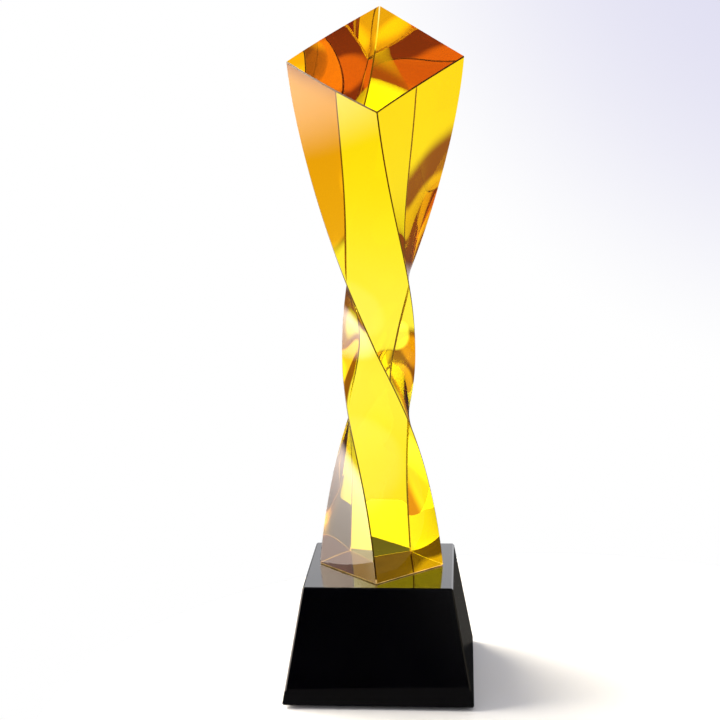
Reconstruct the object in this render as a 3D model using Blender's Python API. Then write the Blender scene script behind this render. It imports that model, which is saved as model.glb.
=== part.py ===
"""Twisted crystal column trophy: an amber column glued on a black plinth with four small clear feet.

Units are metres, +Z is up and the front faces -Y. The trophy stands on z = 0 with its centre line on Z.
The column is a square section that climbs the centre line, half a turn round it, narrow at the waist
and wide at both ends, and a slanted cut closes its top.
"""

import math

import bmesh
import bpy
from mathutils import Vector

# Feet: small clear bumpers stuck under the plinth.
FOOT_DIAMETER = 0.0080
FOOT_TIP_DIAMETER = 0.0066
FOOT_HEIGHT = 0.0012
FOOT_ROUNDING = 0.0004
FOOT_INSET = 0.0100  # from the plinth's lower edges in to a foot's centre

# Plinth: a square block with leaning sides.
PLINTH_SIDE = 0.0800  # at the underside
PLINTH_LEDGE = 0.00425  # from the column's foot corners out to the plinth's upper edges
PLINTH_HEIGHT = 0.0485
PLINTH_CHAMFER = 0.0006

# Bond: the thin film of clear glue between the plinth and the column.
BOND_THICKNESS = 0.0002
BOND_MARGIN = 0.0006  # the film stops this far inside the column's foot

# Column: half diagonals of its square section, and heights above its foot.
COLUMN_FOOT_HALF_DIAGONAL = 0.0270
COLUMN_WAIST_HALF_DIAGONAL = 0.01583
COLUMN_TOP_HALF_DIAGONAL = 0.03668
COLUMN_WAIST_HEIGHT = 0.0951
COLUMN_CUT_HEIGHT = 0.2150  # where the slanted cut crosses the centre line
COLUMN_CUT_SLOPE = math.radians(32.2)  # the cut rises towards the back
COLUMN_FOOT_END_SLOPE = 0.688  # how fast the flare still widens at the foot, 0 for not at all
COLUMN_TOP_END_SLOPE = 0.513  # and at the top
COLUMN_TURN = math.radians(177.4)  # clockwise from foot to top, seen from above
COLUMN_FOOT_SKEW = math.radians(-1.3)  # the foot's corners from the plinth's centre lines
COLUMN_LOW_TWIST_RATE = 18.8  # per metre: how tightly the turn gathers at the waist, below it
COLUMN_HIGH_TWIST_RATE = 17.3  # and above it
COLUMN_CHAMFER = 0.0004

# Clearance between pieces that touch.
GAP = 0.0003

# Fineness of the facets.
COLUMN_STEPS_UP = 64
COLUMN_STEPS_ACROSS = 6
FOOT_SEGMENTS = 24
SMOOTH_ANGLE = math.radians(30)

# Places that follow from the sizes above.
PLINTH_TOP_SIDE = 2 * (COLUMN_FOOT_HALF_DIAGONAL + PLINTH_LEDGE)
PLINTH_Z = FOOT_HEIGHT + GAP
BOND_Z = PLINTH_Z + PLINTH_HEIGHT + GAP
COLUMN_Z = BOND_Z + BOND_THICKNESS + GAP


def clear_scene():
    for obj in list(bpy.data.objects):
        bpy.data.objects.remove(obj, do_unlink=True)


def crystal(name, colour, roughness, transmission, ior):
    """A clear or solid-coloured crystal, glass or silicone."""
    material = bpy.data.materials.new(name)
    material.use_nodes = True
    shader = material.node_tree.nodes["Principled BSDF"]
    shader.inputs["Base Color"].default_value = (*colour, 1.0)
    shader.inputs["Metallic"].default_value = 0.0
    shader.inputs["Roughness"].default_value = roughness
    shader.inputs["Transmission Weight"].default_value = transmission
    shader.inputs["IOR"].default_value = ior
    material.diffuse_color = (*colour, 1.0)
    return material


def add_piece(name, bm, material, parent, place):
    """Turns a mesh in the making into a named object with one material."""
    bmesh.ops.recalc_face_normals(bm, faces=bm.faces[:])
    mesh = bpy.data.meshes.new(name)
    bm.to_mesh(mesh)
    bm.free()
    mesh.shade_smooth()
    mesh.set_sharp_from_angle(angle=SMOOTH_ANGLE)
    mesh.materials.append(material)
    piece = bpy.data.objects.new(name, mesh)
    bpy.context.scene.collection.objects.link(piece)
    piece.parent = parent
    piece.location = place
    return piece


def waist_reach(height):
    """Distance from the waist as a share of its half of the column, and whether that half is the lower one."""
    above_waist = height - COLUMN_WAIST_HEIGHT
    if above_waist < 0:
        return -above_waist / COLUMN_WAIST_HEIGHT, True
    return above_waist / (COLUMN_CUT_HEIGHT - COLUMN_WAIST_HEIGHT), False


def half_diagonal(height):
    """The section's half diagonal: a cubic, level at the waist, with its own slope at each end."""
    reach, below = waist_reach(height)
    widest = COLUMN_FOOT_HALF_DIAGONAL if below else COLUMN_TOP_HALF_DIAGONAL
    end_slope = COLUMN_FOOT_END_SLOPE if below else COLUMN_TOP_END_SLOPE
    flare = (3 - end_slope) * reach**2 + (end_slope - 2) * reach**3
    return COLUMN_WAIST_HALF_DIAGONAL + (widest - COLUMN_WAIST_HALF_DIAGONAL) * flare


def turn_angle(height):
    """Where the section's first corner points: the turn is quickest at the waist and fades to both ends."""
    reach, below = waist_reach(height)
    if below:
        rate = COLUMN_LOW_TWIST_RATE * COLUMN_WAIST_HEIGHT
    else:
        rate = COLUMN_HIGH_TWIST_RATE * (COLUMN_CUT_HEIGHT - COLUMN_WAIST_HEIGHT)
    half_share = 0.5 * math.tanh(rate * reach) / math.tanh(rate)
    turned = 0.5 - half_share if below else 0.5 + half_share
    return COLUMN_FOOT_SKEW - COLUMN_TURN * turned


def section_point(height, side, share):
    """A point on one side of the section, share 0 to 1 between the chamfers of its two corners."""
    radius = half_diagonal(height)
    angle = turn_angle(height) + side * math.pi / 2
    start = Vector((math.cos(angle), math.sin(angle), 0)) * radius
    end = Vector((-math.sin(angle), math.cos(angle), 0)) * radius
    chamfer_share = COLUMN_CHAMFER / (radius * math.sqrt(2))
    point = start.lerp(end, chamfer_share + (1 - 2 * chamfer_share) * share)
    point.z = height
    return point


def cut_height(side, share):
    """How high a line up the column's surface climbs before it meets the slanted cut."""
    height = COLUMN_CUT_HEIGHT
    for _ in range(30):
        height = COLUMN_CUT_HEIGHT + math.tan(COLUMN_CUT_SLOPE) * section_point(height, side, share).y
    return height


def column_mesh():
    """Lines that climb the surface from the foot to the slanted cut, joined by faces and closed by two caps."""
    bm = bmesh.new()
    lines = []
    for side in range(4):
        for step in range(COLUMN_STEPS_ACROSS + 1):
            share = step / COLUMN_STEPS_ACROSS
            top = cut_height(side, share)
            heights = [top * level / COLUMN_STEPS_UP for level in range(COLUMN_STEPS_UP + 1)]
            lines.append([bm.verts.new(section_point(height, side, share)) for height in heights])
    for line, following in zip(lines, lines[1:] + lines[:1]):
        for level in range(COLUMN_STEPS_UP):
            bm.faces.new((line[level], following[level], following[level + 1], line[level + 1]))
    foot = bm.faces.new([line[0] for line in reversed(lines)])
    cut = bm.faces.new([line[-1] for line in lines])
    bmesh.ops.bevel(
        bm,
        geom=list(foot.edges) + list(cut.edges),
        offset=COLUMN_CHAMFER,
        segments=1,
        affect="EDGES",
        clamp_overlap=True,
    )
    return bm


def bond_mesh():
    """A thin square film, in line with the column's foot and a little smaller."""
    bm = bmesh.new()
    outline = []
    radius = half_diagonal(0) - BOND_MARGIN
    for corner in range(4):
        angle = turn_angle(0) + corner * math.pi / 2
        outline.append(bm.verts.new((radius * math.cos(angle), radius * math.sin(angle), 0)))
    film = bm.faces.new(outline)
    raised = bmesh.ops.extrude_face_region(bm, geom=[film])
    top = [item for item in raised["geom"] if isinstance(item, bmesh.types.BMVert)]
    bmesh.ops.translate(bm, verts=top, vec=(0, 0, BOND_THICKNESS))
    return bm


def plinth_mesh():
    """A square block whose sides lean in to the top, with every edge ground to a small chamfer."""
    bm = bmesh.new()
    bmesh.ops.create_cube(bm, size=1)
    for vert in bm.verts:
        side = PLINTH_TOP_SIDE if vert.co.z > 0 else PLINTH_SIDE
        vert.co.x *= side
        vert.co.y *= side
        vert.co.z = (vert.co.z + 0.5) * PLINTH_HEIGHT
    bmesh.ops.bevel(bm, geom=bm.edges[:], offset=PLINTH_CHAMFER, segments=1, affect="EDGES")
    return bm


def foot_mesh():
    """A low round bumper with its wide flat side up and a rounded rim round its tip."""
    bm = bmesh.new()
    bmesh.ops.create_cone(
        bm,
        cap_ends=True,
        segments=FOOT_SEGMENTS,
        radius1=FOOT_TIP_DIAMETER / 2,
        radius2=FOOT_DIAMETER / 2,
        depth=FOOT_HEIGHT,
    )
    bmesh.ops.translate(bm, verts=bm.verts[:], vec=(0, 0, FOOT_HEIGHT / 2))
    rim = [edge for edge in bm.edges if all(vert.co.z < FOOT_HEIGHT / 2 for vert in edge.verts)]
    bmesh.ops.bevel(bm, geom=rim, offset=FOOT_ROUNDING, segments=3, profile=0.5, affect="EDGES")
    return bm


def main():
    clear_scene()

    amber = crystal("amber_crystal", (0.95, 0.62, 0.02), 0.02, 1.0, 1.52)
    black = crystal("black_crystal", (0.006, 0.006, 0.008), 0.04, 0.0, 1.52)
    glue = crystal("clear_glue", (0.90, 0.88, 0.80), 0.10, 0.9, 1.50)
    silicone = crystal("clear_silicone", (0.82, 0.84, 0.85), 0.35, 0.6, 1.41)

    trophy = bpy.data.objects.new("trophy", None)
    bpy.context.scene.collection.objects.link(trophy)

    add_piece("twisted_column", column_mesh(), amber, trophy, (0, 0, COLUMN_Z))
    add_piece("adhesive_bond", bond_mesh(), glue, trophy, (0, 0, BOND_Z))
    add_piece("plinth", plinth_mesh(), black, trophy, (0, 0, PLINTH_Z))

    reach = PLINTH_SIDE / 2 - FOOT_INSET
    for end, y_sign in (("front", -1), ("back", 1)):
        for hand, x_sign in (("left", -1), ("right", 1)):
            place = (x_sign * reach, y_sign * reach, 0)
            add_piece(f"foot_{end}_{hand}", foot_mesh(), silicone, trophy, place)


main()
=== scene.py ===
"""The looks of a twisted crystal column trophy: amber column, glue, black plinth and clear feet."""

import math

import bpy
from mathutils import Matrix, Vector


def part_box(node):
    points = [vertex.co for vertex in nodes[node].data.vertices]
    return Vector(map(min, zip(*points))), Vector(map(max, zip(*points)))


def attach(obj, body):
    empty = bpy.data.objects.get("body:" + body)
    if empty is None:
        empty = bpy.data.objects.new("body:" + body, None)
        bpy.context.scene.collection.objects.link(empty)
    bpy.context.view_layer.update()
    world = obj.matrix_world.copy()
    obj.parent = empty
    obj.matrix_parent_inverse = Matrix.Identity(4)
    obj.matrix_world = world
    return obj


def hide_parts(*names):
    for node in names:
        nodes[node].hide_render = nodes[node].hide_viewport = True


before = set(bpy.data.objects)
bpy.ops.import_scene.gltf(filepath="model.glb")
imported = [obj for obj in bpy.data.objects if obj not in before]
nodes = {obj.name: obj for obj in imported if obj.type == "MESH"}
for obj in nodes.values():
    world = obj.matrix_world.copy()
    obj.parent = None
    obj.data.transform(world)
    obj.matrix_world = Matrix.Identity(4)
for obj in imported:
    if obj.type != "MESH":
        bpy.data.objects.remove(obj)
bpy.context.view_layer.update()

# ---------------------------------------------------------------------------------------------
# Sizes, in metres and radians. What the frame already says is read from it.
# ---------------------------------------------------------------------------------------------

# The column's section, its flare and its turn, as the crystal was ground.
COLUMN_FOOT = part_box("twisted_column")[0].z
COLUMN_WAIST = COLUMN_FOOT + 0.0951
COLUMN_CUT = COLUMN_FOOT + 0.2150  # where the slanted cut crosses the centre line
COLUMN_CUT_SLOPE = math.radians(32.2)  # the cut rises towards the back
FOOT_HALF_DIAGONAL = 0.0270
WAIST_HALF_DIAGONAL = 0.01583
TOP_HALF_DIAGONAL = 0.03668
FOOT_END_SLOPE = 0.688  # how fast the flare still widens at the foot, 0 for not at all
TOP_END_SLOPE = 0.513  # and at the top
COLUMN_TURN = math.radians(177.4)  # clockwise from foot to top, seen from above
FOOT_SKEW = math.radians(-1.3)  # the foot's corners from the plinth's centre lines
LOW_TWIST_RATE = 18.8  # per metre: how tightly the turn gathers at the waist, below it
HIGH_TWIST_RATE = 17.3  # and above it

# How the column is raised, cut and ground.
COLUMN_LEVELS = 110
COLUMN_CUTS_ACROSS = 11
RAISED_PAST_CUT = 1.15  # how far the column is raised before it is cut, against the slant's own height
ROOM_UNDER_CUT = 0.0010  # level edges that come nearer to the cut than this are dissolved
ON_CUT = 0.00001  # points nearer to the cut than this lie on it
SAME_HEIGHT = 0.000001
GROUND_EDGE = 0.0004
GROUND_OVER = math.radians(40)  # edges sharper than this are ground
SMOOTH_UNDER = math.radians(30)

# The joint: the crystal is sunk onto its glue, so that the film lies against the inside of its foot.
FILM_UNDERSIDE, FILM_TOP = (corner.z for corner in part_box("adhesive_bond"))
SEAT_DEPTH = 0.0007
FILM_MARGIN = 0.0004

# The feet.
BUMPER_SIDES = 48
BUMPER_TIP_SHARE = 0.825  # the tip's width against the back's
BUMPER_RIM_ROUNDING = 0.0005
BUMPER_RIM_STEPS = 6
BUMPER_DOME = 0.00015
BUMPER_SMOOTH_UNDER = math.radians(40)
FACING_DOWN = -0.99

# The floor and the camera. The camera's azimuth is measured round the trophy, to the right of its front.
FLOOR_RADIUS = 0.22
FLOOR_MIDDLE = (0.08, -0.05, 0)
CAMERA_AZIMUTH = math.radians(3.34)
CAMERA_YAW = math.radians(0.74)
CAMERA_PITCH = math.radians(10.42)
CAMERA_ROLL = math.radians(-0.87)
CAMERA_DISTANCE = 0.6174
CAMERA_HEIGHT = 0.2541
CAMERA_LENS = 73.98  # millimetres
LIGHT_BOUNCES = 24


# ---------------------------------------------------------------------------------------------
# Hand tools
# ---------------------------------------------------------------------------------------------


def put_down():
    """Nothing selected, and object mode."""
    if bpy.context.mode != "OBJECT":
        bpy.ops.object.mode_set(mode="OBJECT")
    bpy.ops.object.select_all(action="DESELECT")


def take_up(piece):
    """This piece alone selected and active."""
    put_down()
    piece.select_set(True)
    bpy.context.view_layer.objects.active = piece


def pick(piece, wanted, kind="FACE"):
    """Edit mode, with only the faces or edges selected that the test wants."""
    take_up(piece)
    bpy.ops.object.mode_set(mode="EDIT")
    bpy.ops.mesh.select_mode(type=kind)
    bpy.ops.mesh.select_all(action="DESELECT")
    bpy.ops.object.mode_set(mode="OBJECT")
    for item in piece.data.edges if kind == "EDGE" else piece.data.polygons:
        item.select = wanted(item)
    bpy.ops.object.mode_set(mode="EDIT")


def add_modifier(piece, kind, **settings):
    """Adds a modifier, sets it and applies it."""
    take_up(piece)
    modifier = piece.modifiers.new(kind.lower(), kind)
    for key, value in settings.items():
        setattr(modifier, key, value)
    bpy.ops.object.modifier_apply(modifier=modifier.name)


def finish_piece(piece, name, smooth_under=SMOOTH_UNDER):
    """Names the piece, puts its place into its mesh and shades it, smooth but for its sharp edges."""
    take_up(piece)
    piece.name = name
    piece.data.name = name
    bpy.ops.object.transform_apply(location=True, rotation=True, scale=True)
    bpy.ops.object.shade_smooth_by_angle(angle=smooth_under)
    piece.data.materials.clear()
    put_down()
    return piece


def fit_piece(piece, node, material):
    """Gives the piece its finish, says which body it rides on, and hides the plain solid that it stands for.
    """
    piece.data.materials.append(material)
    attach(piece, "root")
    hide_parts(node)


# ---------------------------------------------------------------------------------------------
# Column
# ---------------------------------------------------------------------------------------------


def section_at(height):
    """The square section's half diagonal and the angle of its first corner, at a height."""
    below = height < COLUMN_WAIST
    if below:
        span = COLUMN_WAIST - COLUMN_FOOT
        widest, end_slope, rate = FOOT_HALF_DIAGONAL, FOOT_END_SLOPE, LOW_TWIST_RATE
    else:
        span = COLUMN_CUT - COLUMN_WAIST
        widest, end_slope, rate = TOP_HALF_DIAGONAL, TOP_END_SLOPE, HIGH_TWIST_RATE
    reach = abs(height - COLUMN_WAIST) / span
    flare = (3 - end_slope) * reach**2 + (end_slope - 2) * reach**3
    half_share = 0.5 * math.tanh(rate * span * reach) / math.tanh(rate * span)
    turned = 0.5 - half_share if below else 0.5 + half_share
    half_diagonal = WAIST_HALF_DIAGONAL + (widest - WAIST_HALF_DIAGONAL) * flare
    return half_diagonal, FOOT_SKEW - COLUMN_TURN * turned


def start_square(name, half_diagonal, angle, height):
    """A square drawn on its corners, lying level."""
    put_down()
    bpy.ops.mesh.primitive_circle_add(
        vertices=4,
        radius=half_diagonal,
        fill_type="NGON",
        location=(0, 0, height),
        rotation=(0, 0, angle),
    )
    square = bpy.context.object
    square.name = name
    bpy.ops.object.transform_apply(location=True, rotation=True, scale=True)
    return square


def grind_edges(piece):
    """Grinds the sharp edges to narrow flats, and marks those flats so that their finish can differ."""
    for name in ("polished_face", "ground_flat"):
        piece.data.materials.append(bpy.data.materials.new(name))
    add_modifier(
        piece,
        "BEVEL",
        width=GROUND_EDGE,
        segments=1,
        limit_method="ANGLE",
        angle_limit=GROUND_OVER,
        material=1,
    )
    mark = piece.data.attributes.new("ground_edge", "FLOAT", "FACE")
    for face in piece.data.polygons:
        mark.data[face.index].value = face.material_index
        face.material_index = 0


def raise_column():
    """A square drawn at the foot, raised level by level as it turns and changes size, cut and ground."""
    half_diagonal, angle = section_at(COLUMN_FOOT)
    foot = COLUMN_FOOT - SEAT_DEPTH
    column = start_square("column", half_diagonal, angle, foot)
    pick(column, lambda edge: True, "EDGE")
    bpy.ops.mesh.subdivide(number_cuts=COLUMN_CUTS_ACROSS)
    bpy.ops.mesh.select_all(action="SELECT")
    top = COLUMN_CUT + math.tan(COLUMN_CUT_SLOPE) * TOP_HALF_DIAGONAL * RAISED_PAST_CUT
    height = foot
    for level in range(1, COLUMN_LEVELS + 1):
        new_height = foot + (top - foot) * level / COLUMN_LEVELS
        new_half_diagonal, new_angle = section_at(new_height)
        bpy.ops.mesh.extrude_region_move(TRANSFORM_OT_translate={"value": (0, 0, new_height - height)})
        grow = new_half_diagonal / half_diagonal
        centre = (0, 0, new_height)
        bpy.ops.transform.resize(value=(grow, grow, 1), center_override=centre)
        bpy.ops.transform.rotate(value=angle - new_angle, orient_axis="Z", center_override=centre)
        height, half_diagonal, angle = new_height, new_half_diagonal, new_angle
    bpy.ops.mesh.select_all(action="SELECT")
    cut_centre = Vector((0, 0, COLUMN_CUT))
    cut_facing = Vector((0, -math.sin(COLUMN_CUT_SLOPE), math.cos(COLUMN_CUT_SLOPE)))
    bpy.ops.mesh.bisect(
        plane_co=cut_centre,
        plane_no=cut_facing,
        use_fill=True,
        clear_outer=True,
        threshold=SAME_HEIGHT,
    )
    bpy.ops.object.mode_set(mode="OBJECT")
    below_cut = [(cut_centre - point.co).dot(cut_facing) for point in column.data.vertices]
    heights = [point.co.z for point in column.data.vertices]

    def crowds_cut(edge):
        """A level edge whose end comes close under the cut without lying on it."""
        first, second = edge.vertices
        level = abs(heights[first] - heights[second]) < SAME_HEIGHT
        return level and any(ON_CUT < below_cut[end] < ROOM_UNDER_CUT for end in (first, second))

    pick(column, crowds_cut, "EDGE")
    bpy.ops.mesh.dissolve_edges(use_verts=True, use_face_split=False)
    bpy.ops.mesh.select_all(action="SELECT")
    bpy.ops.mesh.normals_make_consistent(inside=False)
    bpy.ops.object.mode_set(mode="OBJECT")
    grind_edges(column)
    return finish_piece(column, "amber_column")


# ---------------------------------------------------------------------------------------------
# Joint
# ---------------------------------------------------------------------------------------------


def pour_film():
    """The glue, squeezed to a thin square film a little smaller than the column's foot."""
    half_diagonal, angle = section_at(COLUMN_FOOT)
    film = start_square("film", half_diagonal - FILM_MARGIN, angle, FILM_UNDERSIDE)
    pick(film, lambda face: True)
    bpy.ops.mesh.extrude_region_move(TRANSFORM_OT_translate={"value": (0, 0, FILM_TOP - FILM_UNDERSIDE)})
    bpy.ops.mesh.inset(thickness=FILM_MARGIN)
    bpy.ops.mesh.select_all(action="SELECT")
    bpy.ops.mesh.normals_make_consistent(inside=False)
    bpy.ops.object.mode_set(mode="OBJECT")
    return finish_piece(film, "glue_film")


# ---------------------------------------------------------------------------------------------
# Feet
# ---------------------------------------------------------------------------------------------


def mould_bumper(node):
    """A soft round bumper: a wide flat back against the plinth, leaning sides and a rounded, domed tip."""
    low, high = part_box(node)
    back_radius = (high.x - low.x) / 2
    put_down()
    bpy.ops.mesh.primitive_cone_add(
        vertices=BUMPER_SIDES,
        radius1=back_radius * BUMPER_TIP_SHARE,
        radius2=back_radius,
        depth=high.z - low.z,
        location=(low + high) / 2,
    )
    bumper = bpy.context.object
    bpy.ops.object.transform_apply(location=True, rotation=True, scale=True)
    pick(bumper, lambda face: face.normal.z < FACING_DOWN)
    bpy.ops.mesh.bevel(offset=BUMPER_RIM_ROUNDING, segments=BUMPER_RIM_STEPS, profile=0.5, affect="EDGES")
    pick(bumper, lambda face: face.normal.z < FACING_DOWN)
    bpy.ops.mesh.inset(thickness=BUMPER_RIM_ROUNDING)
    bpy.ops.transform.translate(value=(0, 0, BUMPER_DOME))
    bpy.ops.object.mode_set(mode="OBJECT")
    return finish_piece(bumper, "bumper_" + node.removeprefix("foot_"), BUMPER_SMOOTH_UNDER)


# ---------------------------------------------------------------------------------------------
# Effects that several finishes share
# ---------------------------------------------------------------------------------------------


def start_effect(name, inputs, outputs):
    """An empty node group with named inputs and outputs."""
    group = bpy.data.node_groups.new(name, "ShaderNodeTree")
    for kind, socket, value in inputs:
        made = group.interface.new_socket(socket, in_out="INPUT", socket_type=kind)
        if value is not None:
            made.default_value = value
    for socket in outputs:
        group.interface.new_socket(socket, in_out="OUTPUT", socket_type="NodeSocketFloat")
    return group, group.nodes.new("NodeGroupInput"), group.nodes.new("NodeGroupOutput")


def give(tree, value, socket):
    """Links another node's output to a socket, or sets a plain number or colour on it."""
    if isinstance(value, bpy.types.NodeSocket):
        tree.links.new(value, socket)
    elif socket.type == "RGBA":
        socket.default_value = (*value, 1.0)
    else:
        socket.default_value = value


def set_range(tree, source, low, high, out_low=0.0, out_high=1.0):
    """Maps a value from one range to another, held to its ends."""
    node = tree.nodes.new("ShaderNodeMapRange")
    tree.links.new(source, node.inputs["Value"])
    node.inputs["From Min"].default_value = low
    node.inputs["From Max"].default_value = high
    node.inputs["To Min"].default_value = out_low
    node.inputs["To Max"].default_value = out_high
    return node.outputs["Result"]


def noise(tree, place, scale, detail=2.0, stretch=None):
    """Cloudy noise at a scale per metre, stretched if it should run one way."""
    if stretch:
        mapping = tree.nodes.new("ShaderNodeMapping")
        mapping.inputs["Scale"].default_value = stretch
        tree.links.new(place, mapping.inputs["Vector"])
        place = mapping.outputs["Vector"]
    node = tree.nodes.new("ShaderNodeTexNoise")
    node.inputs["Scale"].default_value = scale
    node.inputs["Detail"].default_value = detail
    tree.links.new(place, node.inputs["Vector"])
    return node.outputs["Fac"]


def multiply(tree, first, second):
    """One mask within another."""
    node = tree.nodes.new("ShaderNodeMath")
    node.operation = "MULTIPLY"
    tree.links.new(first, node.inputs[0])
    tree.links.new(second, node.inputs[1])
    return node.outputs[0]


def polish_effect():
    """Polished crystal: faint cloudy haze, the cloth's hairlines, and a slow waviness from the wheel."""
    group, given, made = start_effect(
        "polish_marks",
        (
            ("NodeSocketVector", "Place", None),
            ("NodeSocketFloat", "Base Roughness", 0.0),
            ("NodeSocketFloat", "Haze", 0.02),
        ),
        ("Roughness", "Hairlines", "Waviness"),
    )
    place = given.outputs["Place"]
    cloud = set_range(group, noise(group, place, scale=60.0, detail=4.0), low=0.45, high=0.75)
    haze = group.nodes.new("ShaderNodeMath")
    haze.operation = "MULTIPLY_ADD"
    group.links.new(cloud, haze.inputs[0])
    group.links.new(given.outputs["Haze"], haze.inputs[1])
    group.links.new(given.outputs["Base Roughness"], haze.inputs[2])
    group.links.new(haze.outputs[0], made.inputs["Roughness"])
    lines = noise(group, place, scale=500.0, detail=1.0, stretch=(0.04, 1.0, 0.7))
    group.links.new(set_range(group, lines, low=0.62, high=0.72), made.inputs["Hairlines"])
    group.links.new(noise(group, place, scale=26.0, detail=0.0), made.inputs["Waviness"])
    return group


def dust_effect():
    """Dust: sparse fine specks that settle where a surface faces up."""
    group, given, made = start_effect(
        "settled_dust",
        (
            ("NodeSocketVector", "Place", None),
            ("NodeSocketVector", "Facing", None),
            ("NodeSocketFloat", "Amount", 0.3),
        ),
        ("Mask",),
    )
    cells = group.nodes.new("ShaderNodeTexVoronoi")
    cells.inputs["Scale"].default_value = 420.0
    group.links.new(given.outputs["Place"], cells.inputs["Vector"])
    specks = set_range(group, cells.outputs["Distance"], low=0.05, high=0.12, out_low=1.0, out_high=0.0)
    cloud = noise(group, given.outputs["Place"], scale=90.0, detail=1.0)
    kept = set_range(group, cloud, low=0.50, high=0.60)
    split = group.nodes.new("ShaderNodeSeparateXYZ")
    group.links.new(given.outputs["Facing"], split.inputs[0])
    upward = set_range(group, split.outputs["Z"], low=0.2, high=0.8)
    settled = multiply(group, multiply(group, specks, kept), upward)
    group.links.new(multiply(group, settled, given.outputs["Amount"]), made.inputs["Mask"])
    return group


POLISH = polish_effect()
DUST = dust_effect()


def place_effect(tree, group, **values):
    """Puts a shared effect in a material: numbers are set and outputs of other nodes are linked."""
    node = tree.nodes.new("ShaderNodeGroup")
    node.node_tree = group
    for name, value in values.items():
        give(tree, value, node.inputs[name.replace("_", " ")])
    return node.outputs


def settle_dust(tree, place, amount):
    """How much dust lies on each spot of a finish."""
    facing = tree.nodes.new("ShaderNodeNewGeometry").outputs["Normal"]
    return place_effect(tree, DUST, Place=place, Facing=facing, Amount=amount)["Mask"]


# ---------------------------------------------------------------------------------------------
# Finishes
# ---------------------------------------------------------------------------------------------


def new_material(name):
    """A material with its nodes, its shader and the place on the piece."""
    material = bpy.data.materials.new(name)
    material.use_nodes = True
    tree = material.node_tree
    place = tree.nodes.new("ShaderNodeTexCoord").outputs["Object"]
    return material, tree, tree.nodes["Principled BSDF"], place


# Where a Mix node keeps its two inputs and its result, for plain values and for colours.
MIX_SOCKETS = {"FLOAT": (2, 3, 0), "RGBA": (6, 7, 2)}


def blend(tree, share, first, second, kind):
    """Mixes two things of one kind, each a plain one or another node's."""
    node = tree.nodes.new("ShaderNodeMix")
    node.data_type = kind
    first_socket, second_socket, result = MIX_SOCKETS[kind]
    tree.links.new(share, node.inputs["Factor"])
    give(tree, first, node.inputs[first_socket])
    give(tree, second, node.inputs[second_socket])
    return node.outputs[result]


def blend_colours(tree, share, first, second):
    """Mixes two colours."""
    return blend(tree, share, first, second, "RGBA")


def blend_values(tree, share, first, second):
    """Mixes two values."""
    return blend(tree, share, first, second, "FLOAT")


def add_bump(tree, shader, *layers):
    """Raises the surface by layers of height, each with its depth in metres."""
    normal = None
    for height, depth in layers:
        bump = tree.nodes.new("ShaderNodeBump")
        bump.inputs["Distance"].default_value = depth
        tree.links.new(height, bump.inputs["Height"])
        if normal:
            tree.links.new(normal, bump.inputs["Normal"])
        normal = bump.outputs["Normal"]
    tree.links.new(normal, shader.inputs["Normal"])


AMBER_ABSORBS = (0.9904, 0.949, 0.0, 1)
AMBER_DEPTH = 125.0  # how strongly it absorbs, per metre
FOOT_PAINTED_LIGHT_END = COLUMN_FOOT + 0.0010  # ground flats below this height are the foot's own, painted pale as painted light
FOOT_PAINTED_LIGHT_GONE = COLUMN_FOOT + 0.0015
LIT_FROM, LIT_FULLY = 0.020, 0.024  # behind these, the cut's edges get a painted highlight that stands in for light they catch from inside
LIT_ABOVE, LIT_FULLY_ABOVE = COLUMN_CUT - 0.010, COLUMN_CUT - 0.008


def painted_flat_glow(tree, place, ground, at_foot):
    """A faint painted glow, given as emission, on the flats where light caught from inside is painted in: at
    the back of the cut and at the foot.
    """
    split = tree.nodes.new("ShaderNodeSeparateXYZ")
    tree.links.new(place, split.inputs[0])
    at_back = set_range(tree, split.outputs["Y"], low=LIT_FROM, high=LIT_FULLY)
    near_top = set_range(tree, split.outputs["Z"], low=LIT_ABOVE, high=LIT_FULLY_ABOVE)
    painted_edge_highlight = multiply(tree, multiply(tree, at_back, near_top), ground)
    cloud = noise(tree, place, scale=150.0, detail=3.0)
    patchy = set_range(tree, cloud, low=0.35, high=0.65, out_low=0.4)
    painted_foot_glow = multiply(tree, multiply(tree, at_foot, patchy), ground)
    # painted glow on the foot's flats and a painted highlight on the cut's back edges, both emission though
    # no lamp
    glow = blend_colours(tree, painted_foot_glow, (0.0, 0.0, 0.0), (1.00, 0.66, 0.22))
    return blend_colours(tree, painted_edge_highlight, glow, (1.0, 0.95, 0.80))


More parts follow.
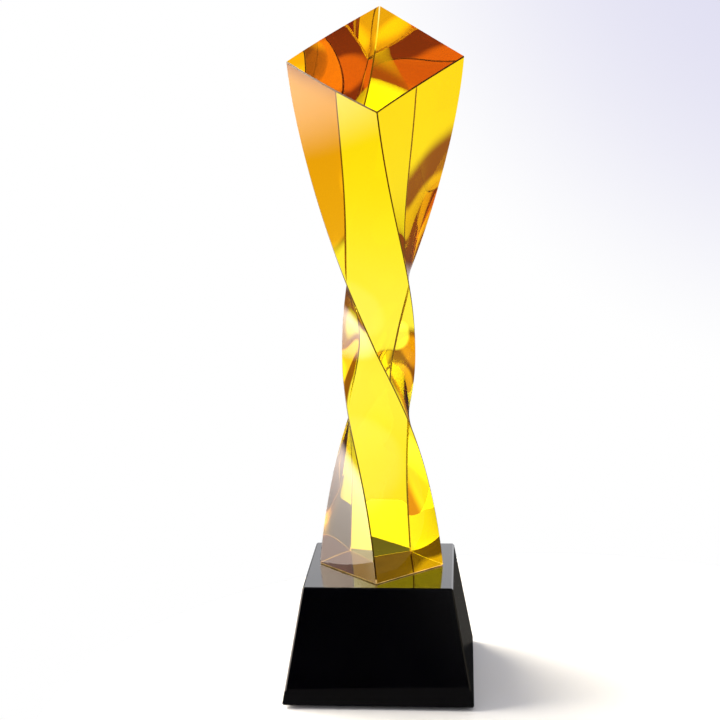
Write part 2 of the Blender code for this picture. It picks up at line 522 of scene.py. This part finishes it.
def amber_crystal():
    """Clear amber crystal: polished faces, dull ground flats painted dark brown as painted shade and pale
    cream at the foot as painted light, a painted glow on some flats, and a deeper colour where it is thick.
    """
    material, tree, shader, place = new_material("amber_crystal")
    shader.inputs["Transmission Weight"].default_value = 1.0
    shader.inputs["IOR"].default_value = 1.52
    mark = tree.nodes.new("ShaderNodeAttribute")
    mark.attribute_name = "ground_edge"
    ground = mark.outputs["Fac"]
    polish = place_effect(tree, POLISH, Place=place, Base_Roughness=0.0, Haze=0.004)
    dust = settle_dust(tree, place, 0.35)
    split = tree.nodes.new("ShaderNodeSeparateXYZ")
    tree.links.new(place, split.inputs[0])
    at_foot = set_range(tree, split.outputs["Z"], low=FOOT_PAINTED_LIGHT_GONE, high=FOOT_PAINTED_LIGHT_END)
    # painted shade and light on the ground flats: dark brown along the column, pale cream at the foot
    flats = blend_colours(tree, at_foot, (0.020, 0.007, 0.001), (0.95, 0.80, 0.45))
    polished = blend_colours(tree, dust, (1.0, 1.0, 1.0), (0.80, 0.74, 0.62))
    tree.links.new(blend_colours(tree, ground, polished, flats), shader.inputs["Base Color"])
    smooth = blend_values(tree, dust, polish["Roughness"], 0.40)
    tree.links.new(blend_values(tree, ground, smooth, 0.30), shader.inputs["Roughness"])
    add_bump(tree, shader, (polish["Waviness"], 0.00008))
    # the ground flats' painted glow and painted highlight go in as emission
    tree.links.new(painted_flat_glow(tree, place, ground, at_foot), shader.inputs["Emission Color"])
    shader.inputs["Emission Strength"].default_value = 1.0
    depth = tree.nodes.new("ShaderNodeVolumeAbsorption")
    depth.inputs["Color"].default_value = AMBER_ABSORBS
    depth.inputs["Density"].default_value = AMBER_DEPTH
    tree.links.new(depth.outputs["Volume"], tree.nodes["Material Output"].inputs["Volume"])
    return material


def black_crystal():
    """Solid black crystal, polished all over, with a little haze, hairlines and dust on its ledges."""
    material, tree, shader, place = new_material("black_crystal")
    shader.inputs["IOR"].default_value = 1.52
    polish = place_effect(tree, POLISH, Place=place, Base_Roughness=0.015, Haze=0.03)
    dust = settle_dust(tree, place, 0.45)
    cloud = noise(tree, place, scale=35.0)
    black = blend_colours(tree, cloud, (0.0015, 0.0015, 0.0018), (0.0035, 0.0035, 0.0045))
    tree.links.new(blend_colours(tree, dust, black, (0.28, 0.27, 0.26)), shader.inputs["Base Color"])
    tree.links.new(blend_values(tree, dust, polish["Roughness"], 0.60), shader.inputs["Roughness"])
    add_bump(tree, shader, (polish["Waviness"], 0.00002), (polish["Hairlines"], 0.0000006))
    return material


GLUE_BRIGHT_FROM, GLUE_BRIGHT_AT = 0.011, 0.016  # right of these the glue's mirror turns from dark to bright


def bright_glue():
    """The cured glue seen from inside the crystal: an uneven mirror, dark over most of the foot and bright
    towards its right side.
    """
    material, tree, shader, place = new_material("bright_glue")
    shader.inputs["Metallic"].default_value = 1.0
    shader.inputs["Specular Tint"].default_value = (0.62, 0.50, 0.22, 1)
    polish = place_effect(tree, POLISH, Place=place, Base_Roughness=0.02, Haze=0.10)
    split = tree.nodes.new("ShaderNodeSeparateXYZ")
    tree.links.new(place, split.inputs[0])
    uneven = set_range(tree, noise(tree, place, scale=110.0, detail=3.0), low=0.35, high=0.70)
    dark_mirror = blend_colours(tree, uneven, (0.11, 0.09, 0.03), (0.17, 0.13, 0.05))
    # the mirror is brighter towards the glue's right side
    right_side = set_range(tree, split.outputs["X"], low=GLUE_BRIGHT_FROM, high=GLUE_BRIGHT_AT)
    tree.links.new(blend_colours(tree, right_side, dark_mirror, (1.00, 0.80, 0.50)), shader.inputs["Base Color"])
    tree.links.new(polish["Roughness"], shader.inputs["Roughness"])
    add_bump(tree, shader, (polish["Waviness"], 0.00005))
    return material


def clear_silicone():
    """Clear soft silicone, a little milky, with a moulded satin skin and dust on it."""
    material, tree, shader, place = new_material("clear_silicone")
    shader.inputs["Transmission Weight"].default_value = 0.7
    shader.inputs["IOR"].default_value = 1.41
    milky = set_range(tree, noise(tree, place, scale=700.0, detail=3.0), low=0.35, high=0.70)
    dust = settle_dust(tree, place, 0.5)
    clear = blend_colours(tree, milky, (0.82, 0.84, 0.85), (0.92, 0.93, 0.93))
    tree.links.new(blend_colours(tree, dust, clear, (0.50, 0.48, 0.45)), shader.inputs["Base Color"])
    satin = set_range(tree, milky, low=0.0, high=1.0, out_low=0.22, out_high=0.40)
    tree.links.new(satin, shader.inputs["Roughness"])
    add_bump(tree, shader, (milky, 0.00001))
    return material


def dress_plinth():
    """The plinth's own solid is already right, so it only gets its finish."""
    plinth = nodes["plinth"]
    plinth.data.materials.clear()
    plinth.data.materials.append(black_crystal())


# ---------------------------------------------------------------------------------------------
# Studio
# ---------------------------------------------------------------------------------------------


def towards(azimuth, elevation):
    """A direction: azimuth 0 is straight behind the trophy and 90 is to its right, in degrees."""
    azimuth, elevation = math.radians(azimuth), math.radians(elevation)
    return (
        math.sin(azimuth) * math.cos(elevation),
        math.cos(azimuth) * math.cos(elevation),
        math.sin(elevation),
    )


def choose(tree, wanted, otherwise, chosen):
    """One shader or another, by a kind of ray."""
    mix = tree.nodes.new("ShaderNodeMixShader")
    tree.links.new(wanted, mix.inputs[0])
    tree.links.new(otherwise, mix.inputs[1])
    tree.links.new(chosen, mix.inputs[2])
    return mix.outputs["Shader"]


def surroundings(tree, room, panels):
    """A plain room with soft panels of light round the trophy."""
    direction = tree.nodes.new("ShaderNodeTexCoord").outputs["Generated"]
    light = room
    for azimuth, elevation, full, gone, added in panels:
        nearness = tree.nodes.new("ShaderNodeVectorMath")
        nearness.operation = "DOT_PRODUCT"
        nearness.inputs[1].default_value = towards(azimuth, elevation)
        tree.links.new(direction, nearness.inputs[0])
        fade = tree.nodes.new("ShaderNodeMapRange")
        fade.interpolation_type = "SMOOTHSTEP"
        fade.inputs["From Min"].default_value = math.cos(math.radians(gone))
        fade.inputs["From Max"].default_value = math.cos(math.radians(full))
        tree.links.new(nearness.outputs["Value"], fade.inputs["Value"])
        add = tree.nodes.new("ShaderNodeVectorMath")
        add.operation = "MULTIPLY_ADD"
        add.inputs[0].default_value = added
        tree.links.new(fade.outputs["Result"], add.inputs[1])
        give(tree, light, add.inputs[2])
        light = add.outputs["Vector"]
    background = tree.nodes.new("ShaderNodeBackground")
    tree.links.new(light, background.inputs["Color"])
    return background.outputs["Background"]


# What each kind of ray sees of the studio: the plain room, then its panels. A panel's row gives the
# azimuth and elevation of its middle, how far out it is full, where it is gone, all in degrees, and the
# light that it adds.
THROUGH_CRYSTAL = (
    (0.34, 0.12, 0.03),
    (
        (-15, 5, 40, 52, (0.82, 1.00, 1.06)),  # behind
        (-45, -40, 20, 28, (0.82, 1.00, 1.06)),  # behind and below
        (-75, 20, 26, 32, (0.86, 1.02, 1.10)),  # left
        (-86, -20, 14, 24, (0.62, 0.30, 0.00)),  # left and below
        (-135, 32, 8, 14, (0.80, 0.70, 0.40)),  # front left, high
        (-137, -25, 14, 22, (0.95, 0.58, 0.22)),  # front left, low
        (62, 18, 26, 31, (0.62, 0.42, 0.25)),  # back right
        (76, -4, 16, 21, (1.05, 0.74, 0.25)),  # right
        (130, -20, 22, 32, (0.70, 0.85, 0.90)),  # front right, low
        (178, 12, 8, 12, (0.80, 0.40, 0.05)),  # front
    ),
)
OFF_POLISH = (
    (0.05, 0.05, 0.05),
    (
        (-68, 0, 18, 36, (4.7, 4.1, 3.7)),  # left, on the column's lower left face
        (-70, 40, 20, 26, (13.0, 12.0, 10.0)),  # left and high, on its upper left face
        (0, 25, 26, 36, (1.4, 1.4, 1.45)),  # behind, on the plinth's ledge
        (150, 20, 26, 38, (0.7, 0.7, 0.7)),  # front right
        (180, 0, 6, 18, (-0.08, -0.08, -0.08)),  # a dark gap in front
        (95, 0, 30, 50, (0.25, 0.22, 0.15)),  # right
    ),
)
ON_FLOOR = (
    (0.56, 0.55, 0.57),
    ((-80, 29, 18, 28, (8.2, 8.2, 8.2)),),  # a strong light from the left
)
BACKDROP = (
    (1.0, 1.0, 1.0),
    ((16, 10, 0, 22, (-0.27, -0.28, -0.12)),),  # lilac to the upper right
)


def light_studio():
    """Soft light from behind and from the left, warm light from the right, and dark near the camera."""
    world = bpy.data.worlds.new("studio")
    bpy.context.scene.world = world
    world.use_nodes = True
    tree = world.node_tree
    tree.nodes.clear()
    path = tree.nodes.new("ShaderNodeLightPath").outputs
    off_polish = surroundings(tree, *OFF_POLISH)
    through_crystal = surroundings(tree, *THROUGH_CRYSTAL)
    light = choose(tree, path["Is Transmission Ray"], off_polish, through_crystal)
    light = choose(tree, path["Is Diffuse Ray"], light, surroundings(tree, *ON_FLOOR))
    light = choose(tree, path["Is Camera Ray"], light, surroundings(tree, *BACKDROP))
    tree.links.new(light, tree.nodes.new("ShaderNodeOutputWorld").inputs["Surface"])


def lay_floor():
    """A round sheet of pale matt paper, which polished faces see darker than the eye does: a painted dark
    reflection.
    """
    put_down()
    bpy.ops.mesh.primitive_circle_add(
        vertices=96, radius=FLOOR_RADIUS, fill_type="NGON", location=FLOOR_MIDDLE
    )
    floor = bpy.context.object
    floor.name = "studio_floor"
    material, tree, shader, place = new_material("pale_paper")
    cloud = noise(tree, place, scale=40.0, detail=4.0)
    paper = blend_colours(tree, cloud, (0.90, 0.90, 0.91), (0.93, 0.93, 0.94))
    tree.links.new(paper, shader.inputs["Base Color"])
    shader.inputs["Roughness"].default_value = 0.6
    # painted dark reflection: the shade that polished faces see in place of the paper
    shade = tree.nodes.new("ShaderNodeBsdfDiffuse")
    shade.inputs["Color"].default_value = (0.03, 0.03, 0.03, 1)
    path = tree.nodes.new("ShaderNodeLightPath").outputs
    mirrored = tree.nodes.new("ShaderNodeMath")
    mirrored.operation = "SUBTRACT"
    mirrored.use_clamp = True
    tree.links.new(path["Is Glossy Ray"], mirrored.inputs[0])
    tree.links.new(path["Is Transmission Ray"], mirrored.inputs[1])
    seen = choose(tree, mirrored.outputs[0], shader.outputs["BSDF"], shade.outputs["BSDF"])
    tree.links.new(seen, tree.nodes["Material Output"].inputs["Surface"])
    floor.data.materials.append(material)


def set_camera():
    """A long lens, above the trophy's middle and to its right, looking down and slightly rolled."""
    camera = bpy.data.objects.new("camera", bpy.data.cameras.new("camera"))
    bpy.context.scene.collection.objects.link(camera)
    bpy.context.scene.camera = camera
    camera.data.lens = CAMERA_LENS
    aim = CAMERA_AZIMUTH + CAMERA_YAW
    level = math.cos(CAMERA_PITCH)
    forward = Vector((-math.sin(aim) * level, math.cos(aim) * level, -math.sin(CAMERA_PITCH)))
    right = Vector((math.cos(aim), math.sin(aim), 0))
    up = right.cross(forward)
    tilted_right = math.cos(CAMERA_ROLL) * right + math.sin(CAMERA_ROLL) * up
    tilted_up = math.cos(CAMERA_ROLL) * up - math.sin(CAMERA_ROLL) * right
    turned = Matrix((tilted_right, tilted_up, -forward)).transposed().to_4x4()
    out, aside = -math.cos(CAMERA_AZIMUTH), math.sin(CAMERA_AZIMUTH)
    place = Vector((CAMERA_DISTANCE * aside, CAMERA_DISTANCE * out, CAMERA_HEIGHT))
    camera.matrix_world = Matrix.Translation(place) @ turned


def set_scene():
    """Plain colours, and enough bounces for light that runs round inside the crystal."""
    scene = bpy.context.scene
    scene.view_settings.view_transform = "Standard"
    scene.cycles.max_bounces = LIGHT_BOUNCES
    scene.cycles.transmission_bounces = LIGHT_BOUNCES
    scene.cycles.glossy_bounces = LIGHT_BOUNCES


# ---------------------------------------------------------------------------------------------
# The trophy
# ---------------------------------------------------------------------------------------------

set_camera()
set_scene()
light_studio()
lay_floor()

fit_piece(raise_column(), "twisted_column", amber_crystal())
fit_piece(pour_film(), "adhesive_bond", bright_glue())
dress_plinth()
silicone = clear_silicone()
for node in ("foot_front_left", "foot_front_right", "foot_back_left", "foot_back_right"):
    fit_piece(mould_bumper(node), node, silicone)
